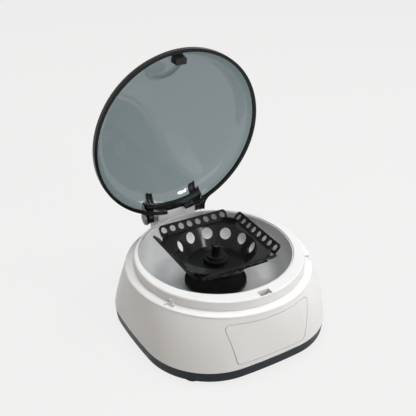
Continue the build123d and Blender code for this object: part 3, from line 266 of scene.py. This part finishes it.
def smoked_clear():
    """Clear plastic, smoked through its thickness, with faint smudges."""
    material, tree, shader = new_material("smoked_clear")
    shader.inputs["Base Color"].default_value = (1, 1, 1, 1)
    shader.inputs["Transmission Weight"].default_value = 1.0
    shader.inputs["IOR"].default_value = clear_ior
    smoke = node(
        tree, "ShaderNodeVolumeAbsorption", Color=(*smoke_colour, 1), Density=smoke_density
    )
    tree.links.new(smoke.outputs[0], tree.nodes["Material Output"].inputs["Volume"])
    smudges = noise(tree, smudge_scale, 6.0)
    tree.links.new(ranged(tree, smudges, *smudge_roughness), shader.inputs["Roughness"])
    bump = node(tree, "ShaderNodeBump", Strength=ripple_strength, Distance=ripple_depth)
    tree.links.new(noise(tree, ripple_scale, 1.0), bump.inputs["Height"])
    tree.links.new(bump.outputs[0], shader.inputs["Normal"])
    return material


def liner_metal():
    """Satin spun metal of the bowl: soft rings round the rotor's axis."""
    material, tree, shader = new_material("liner_metal")
    shader.inputs["Metallic"].default_value = 1.0
    cloud = noise(tree, liner_cloud_scale)
    tree.links.new(
        mixed(tree, ranged(tree, cloud, 0, 1), *liner_colours), shader.inputs["Base Color"]
    )
    rings = noise(tree, liner_ring_scale, 2.0, liner_ring_stretch)
    tree.links.new(ranged(tree, cloud, *liner_roughness), shader.inputs["Roughness"])
    rounded_bump(tree, shader, rings, liner_ring_strength, liner_ring_depth, liner_edge)
    return material


finishes = {
    "housing_white": plastic(
        "housing_white", colour=(0.775, 0.770, 0.765), other=(0.800, 0.796, 0.792),
        worn=(0.88, 0.88, 0.88), rough=(0.30, 0.42), grain=2600.0, depth=0.00003, edge=0.0005,
    ),
    "band_grey": plastic(
        "band_grey", colour=(0.012, 0.017, 0.023), other=(0.016, 0.022, 0.029),
        worn=(0.07, 0.085, 0.10), rough=(0.36, 0.52), grain=2200.0, depth=0.00004, gloss=0.20,
    ),
    "smoked_clear": smoked_clear(),
    "black_plastic": plastic(
        "black_plastic", colour=(0.0065, 0.0065, 0.0068), other=(0.0095, 0.0092, 0.0088),
        worn=(0.05, 0.048, 0.045), rough=(0.12, 0.26), grain=900.0, depth=0.00002, gloss=0.22,
    ),
    "black_matte": plastic(
        "black_matte", colour=(0.012, 0.012, 0.013), other=(0.017, 0.017, 0.018),
        worn=(0.05, 0.05, 0.05), rough=(0.38, 0.55), grain=2400.0, depth=0.00005, gloss=0.30,
    ),
    "black_rubber": plastic(
        "black_rubber", colour=(0.008, 0.008, 0.008), other=(0.013, 0.013, 0.013),
        worn=(0.03, 0.03, 0.03), rough=(0.62, 0.80), grain=1500.0, depth=0.00008, gloss=0.15,
    ),
    "liner_metal": liner_metal(),
    "steel": metal(
        "steel", colour=(0.50, 0.50, 0.51), other=(0.60, 0.60, 0.60),
        rough=(0.18, 0.34), stretch=(1, 1, 12), line_scale=300.0, depth=0.00002,
    ),
    "motor_metal": metal(
        "motor_metal", colour=(0.24, 0.25, 0.27), other=(0.30, 0.31, 0.33),
        rough=(0.32, 0.46), stretch=(1, 1, 6), line_scale=200.0, depth=0.00002,
    ),
    "board_green": plastic(
        "board_green", colour=(0.012, 0.085, 0.030), other=(0.018, 0.110, 0.042),
        worn=(0.10, 0.20, 0.10), rough=(0.25, 0.40), grain=1200.0, depth=0.00002, edge=0.0002,
    ),
    "white_nylon": plastic(
        "white_nylon", colour=(0.66, 0.655, 0.63), other=(0.72, 0.715, 0.69),
        worn=(0.78, 0.78, 0.76), rough=(0.40, 0.55), grain=1600.0, depth=0.00003, edge=0.0002,
    ),
}


def dress_nodes():
    """Every CAD node takes its slot's finish."""
    slots = {part["node"]: part["material_slot"] for part in frame["record"]["subparts"]}
    for name, piece in frame["nodes"].items():
        piece.data.materials.clear()
        piece.data.materials.append(finishes[slots[name]])


# Lid


def dome_outline(inset, bottom):
    """Points (radius, height) of the lid's half section, from its foot to its crown."""
    ring = dome_radius - shoulder_radius
    drop = math.sqrt((crown_radius - shoulder_radius) ** 2 - ring**2)
    steep = math.atan2(ring, drop)
    start = math.asin(bottom / (shoulder_radius - inset))
    points = []
    for step in range(shoulder_steps + 1):
        angle = start + (math.pi / 2 - steep - start) * step / shoulder_steps
        points.append((
            ring + (shoulder_radius - inset) * math.cos(angle),
            ledge_z + (shoulder_radius - inset) * math.sin(angle),
        ))
    for step in range(1, crown_steps + 1):
        angle = math.pi / 2 - steep * (1 - step / crown_steps)
        points.append((
            max((crown_radius - inset) * math.cos(angle), 0.0),
            ledge_z - drop + (crown_radius - inset) * math.sin(angle),
        ))
    return points


def dented(point, ball_radius):
    """The point, drawn in to the finger recess's ball where the ball cuts the lid."""
    focus = Vector((0, 0, ledge_z))
    reach = point - focus
    distance = reach.length
    ray = reach / distance
    to_ball = Vector(recess_centre) - focus
    along = to_ball.dot(ray)
    aside = to_ball.length_squared - along**2
    if aside >= ball_radius**2 or along < 0:
        return point
    entry = along - math.sqrt(ball_radius**2 - aside)
    gap = abs(distance - entry)
    nearer = min(distance, entry)
    if gap < recess_blend:
        nearer -= (recess_blend - gap) ** 2 / (4 * recess_blend)
    return focus + ray * nearer


def turned_dome(name, inset, bottom, ball_radius):
    """Closed solid of the lid's outline, turned round the lid's axis, with the finger recess."""
    shape = bmesh.new()
    outline = dome_outline(inset, bottom)
    layers = []
    for radius, height in outline[:-1]:
        ring = []
        for turn in range(dome_turns):
            angle = 2 * math.pi * turn / dome_turns
            point = Vector((radius * math.cos(angle), radius * math.sin(angle), height))
            ring.append(shape.verts.new(dented(point, ball_radius)))
        layers.append(ring)
    crown = shape.verts.new((0, 0, outline[-1][1]))
    for turn in range(dome_turns):
        after = (turn + 1) % dome_turns
        for low, high in zip(layers, layers[1:]):
            shape.faces.new((low[turn], low[after], high[after], high[turn]))
        shape.faces.new((layers[-1][turn], layers[-1][after], crown))
    for face in shape.faces:
        face.smooth = True
    shape.faces.new(reversed(layers[0]))
    return placed(shape, name)


def prism(name, outline, start, end, upright=False):
    """Closed solid of a side view (y, z) between two values of x, or upright of a plan (x, y)."""
    shape = bmesh.new()
    layers = []
    for level in (start, end):
        corners = [(*at, level) if upright else (level, *at) for at in outline]
        layers.append([shape.verts.new(corner) for corner in corners])
    near, far = layers
    shape.faces.new(near)
    shape.faces.new(reversed(far))
    for first in range(len(outline)):
        after = (first + 1) % len(outline)
        shape.faces.new((near[after], near[first], far[first], far[after]))
    bmesh.ops.recalc_face_normals(shape, faces=shape.faces)
    return placed(shape, name)


def placed(shape, name):
    """New object from a bmesh."""
    mesh = bpy.data.meshes.new(name)
    shape.to_mesh(mesh)
    shape.free()
    piece = bpy.data.objects.new(name, mesh)
    bpy.context.scene.collection.objects.link(piece)
    return piece


def combined(piece, tool, operation):
    """The piece with the tool joined to it or cut from it; the tool goes."""
    step = piece.modifiers.new("step", "BOOLEAN")
    step.operation = operation
    step.solver = "MANIFOLD"
    step.object = tool
    seen = bpy.context.evaluated_depsgraph_get()
    mesh = bpy.data.meshes.new_from_object(piece.evaluated_get(seen))
    piece.modifiers.clear()
    piece.data = mesh
    bpy.data.objects.remove(tool)


def ear_blend(radius, side):
    """Plan points of the hollow curve from an ear's outer face to the lid's round edge."""
    centre_x = ear_start + ear_thickness + trim_blend
    centre_y = math.sqrt((dome_radius + trim_blend) ** 2 - centre_x**2)
    sweep = math.atan2(centre_y, centre_x)
    points = []
    for step in range(trim_steps + 1):
        angle = math.pi + sweep * step / trim_steps
        points.append((
            side * (centre_x + radius * math.cos(angle)), centre_y + radius * math.sin(angle)
        ))
    return points


def ear_trim(name, side):
    """Black edge strip that goes on from the rim, round the hollow curve and along the ear."""
    outer_face = side * (ear_start + ear_thickness)
    outline = [(outer_face, trim_rear)]
    outline += ear_blend(trim_blend, side)
    outline += reversed(ear_blend(trim_blend - trim_thickness, side))
    outline.append((outer_face + side * trim_thickness, trim_rear))
    piece = prism(name, outline, trim_low, trim_high, upright=True)
    piece.data.transform(lid_turn)
    piece.data.materials.append(finishes["black_plastic"])
    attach(piece, "lid")


def lid_shell():
    """Clear lid: a domed shell with finger recess, hinge ears, and notches for knuckles and tower."""
    piece = turned_dome("lid_shell", 0.0, dome_seat, recess_radius)
    for side in (-1, 1):
        web = [(side * ear_start, web_front), (side * ear_start, hinge_y)]
        web += ear_blend(trim_blend, side)
        tool = prism("web", web, ledge_z + dome_seat, trim_high, upright=True)
        combined(piece, tool, "UNION")
    inside = dome_radius - shoulder_radius
    ear = [(inside, hinge_z - ear_radius)]
    for turn in range(ear_turns + 1):
        angle = math.pi * (turn / ear_turns - 0.5)
        ear.append((hinge_y + ear_radius * math.cos(angle), hinge_z + ear_radius * math.sin(angle)))
    ear.append((inside, hinge_z + ear_radius))
    for start in (ear_start, -ear_start - ear_thickness):
        combined(piece, prism("ear", ear, start, start + ear_thickness), "UNION")
    hollow = turned_dome("hollow", dome_wall, -cut_over, recess_radius + dome_wall)
    combined(piece, hollow, "DIFFERENCE")
    notch = [
        (inside, ledge_z - cut_over),
        (notch_reach, ledge_z - cut_over),
        (notch_reach, notch_top),
        (inside, notch_top),
    ]
    for start, end in ((notch_start, notch_end), (-notch_end, -notch_start)):
        combined(piece, prism("notch", notch, start, end), "DIFFERENCE")
    tower_notch = [
        (inside, ledge_z - cut_over),
        (hinge_y, ledge_z - cut_over),
        (hinge_y, tower_notch_top),
        (inside, tower_notch_top),
    ]
    combined(
        piece, prism("notch", tower_notch, -tower_notch_half, tower_notch_half), "DIFFERENCE"
    )
    piece.data.transform(lid_turn)
    piece.data.set_sharp_from_angle(angle=math.radians(smooth_angle))
    piece.data.materials.clear()
    piece.data.materials.append(finishes["smoked_clear"])
    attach(piece, "lid")
    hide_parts("lid_dome")


# Stage, light and camera


def seen_colour(tree, output, lit, colour):
    """The lit shader, with a plain colour for what the camera, gloss and glass see."""
    path = tree.nodes.new("ShaderNodeLightPath")
    either = tree.nodes.new("ShaderNodeMath")
    either.operation = "MAXIMUM"
    tree.links.new(path.outputs["Is Camera Ray"], either.inputs[0])
    tree.links.new(path.outputs["Is Glossy Ray"], either.inputs[1])
    any_of = tree.nodes.new("ShaderNodeMath")
    any_of.operation = "MAXIMUM"
    tree.links.new(either.outputs[0], any_of.inputs[0])
    tree.links.new(path.outputs["Is Transmission Ray"], any_of.inputs[1])
    mix = tree.nodes.new("ShaderNodeMixShader")
    tree.links.new(any_of.outputs[0], mix.inputs[0])
    tree.links.new(lit, mix.inputs[1])
    tree.links.new(colour, mix.inputs[2])
    tree.links.new(mix.outputs[0], output.inputs[0])


def make_world():
    """Soft pale surroundings, darker overhead."""
    world = bpy.data.worlds.new("surroundings")
    bpy.context.scene.world = world
    world.use_nodes = True
    tree = world.node_tree
    tree.nodes.clear()
    output = tree.nodes.new("ShaderNodeOutputWorld")
    light = node(
        tree, "ShaderNodeBackground", Color=(*world_colour, 1), Strength=world_level
    )
    seen = node(tree, "ShaderNodeBackground", Color=(1, 1, 1, 1))
    place = tree.nodes.new("ShaderNodeTexCoord")
    parts = tree.nodes.new("ShaderNodeSeparateXYZ")
    tree.links.new(place.outputs["Generated"], parts.inputs[0])
    rise = ranged(tree, parts.outputs["Z"], background_level, ceiling_level, *ceiling_rise)
    tree.links.new(rise, seen.inputs["Strength"])
    seen_colour(tree, output, light.outputs[0], seen.outputs[0])


def make_floor():
    """Pale floor that keeps the object's shadow."""
    mesh = bpy.data.meshes.new("floor")
    corners = [(across * floor_half, along * floor_half, 0)
               for across, along in ((-1, -1), (1, -1), (1, 1), (-1, 1))]
    mesh.from_pydata(corners, [], [(0, 1, 2, 3)])
    floor = bpy.data.objects.new("floor", mesh)
    bpy.context.scene.collection.objects.link(floor)
    material = bpy.data.materials.new("floor")
    material.use_nodes = True
    tree = material.node_tree
    tree.nodes.clear()
    output = tree.nodes.new("ShaderNodeOutputMaterial")
    lit = node(tree, "ShaderNodeBsdfDiffuse", Color=(*floor_colour, 1))
    glow = node(
        tree, "ShaderNodeEmission",
        Color=(background_level, background_level, background_level, 1), Strength=1.0,
    )
    both = tree.nodes.new("ShaderNodeMixShader")
    both.inputs[0].default_value = floor_glow
    tree.links.new(lit.outputs[0], both.inputs[1])
    tree.links.new(glow.outputs[0], both.inputs[2])
    seen_colour(tree, output, lit.outputs[0], both.outputs[0])
    mesh.materials.append(material)


def softbox(name, place, size, watts, colour):
    """Rectangular area light that faces the object."""
    data = bpy.data.lights.new(name, "AREA")
    data.shape = "RECTANGLE"
    data.size, data.size_y = size
    data.energy = watts
    data.color = colour
    lamp = bpy.data.objects.new(name, data)
    lamp.location = place
    aim_way = Vector(lamp_aim) - Vector(place)
    lamp.rotation_euler = aim_way.to_track_quat("-Z", "Y").to_euler()
    bpy.context.scene.collection.objects.link(lamp)


def make_camera():
    """Camera at the photograph's place and angle."""
    azimuth = math.radians(camera_azimuth)
    elevation = math.radians(camera_elevation)
    roll = math.radians(camera_roll)
    ahead = Vector((
        -math.sin(azimuth) * math.cos(elevation),
        math.cos(azimuth) * math.cos(elevation),
        -math.sin(elevation),
    ))
    level = Vector((math.cos(azimuth), math.sin(azimuth), 0))
    upright = level.cross(ahead)
    right = level * math.cos(roll) + upright * math.sin(roll)
    up = upright * math.cos(roll) - level * math.sin(roll)
    data = bpy.data.cameras.new("camera")
    data.sensor_width = sensor_width
    data.lens = camera_focal_pixels * sensor_width / image_pixels
    data.clip_start, data.clip_end = camera_clip
    camera = bpy.data.objects.new("camera", data)
    turn = Matrix((right, up, -ahead)).transposed()
    camera.matrix_world = Matrix.Translation(camera_place) @ turn.to_4x4()
    bpy.context.scene.collection.objects.link(camera)
    bpy.context.scene.camera = camera


dress_nodes()
lid_shell()
ear_trim("ear_trim_right", 1)
ear_trim("ear_trim_left", -1)
make_world()
make_floor()
softbox(
    "key", place=(1.30, -0.60, 1.10), size=(0.7, 0.7), watts=9.8, colour=(0.965, 0.975, 1.0)
)
softbox(
    "window", place=(0.36, -1.25, 0.72), size=(0.20, 0.50), watts=6.0, colour=(0.97, 0.98, 1.0)
)
softbox(
    "top", place=(0.0, 0.15, 1.5), size=(0.9, 0.7), watts=16.5, colour=(0.985, 0.99, 1.0)
)
softbox(
    "fill", place=(-0.35, -1.40, 0.75), size=(0.9, 0.6), watts=1.8, colour=(1.0, 0.94, 0.86)
)
make_camera()
bpy.context.scene.view_settings.view_transform = "Standard"
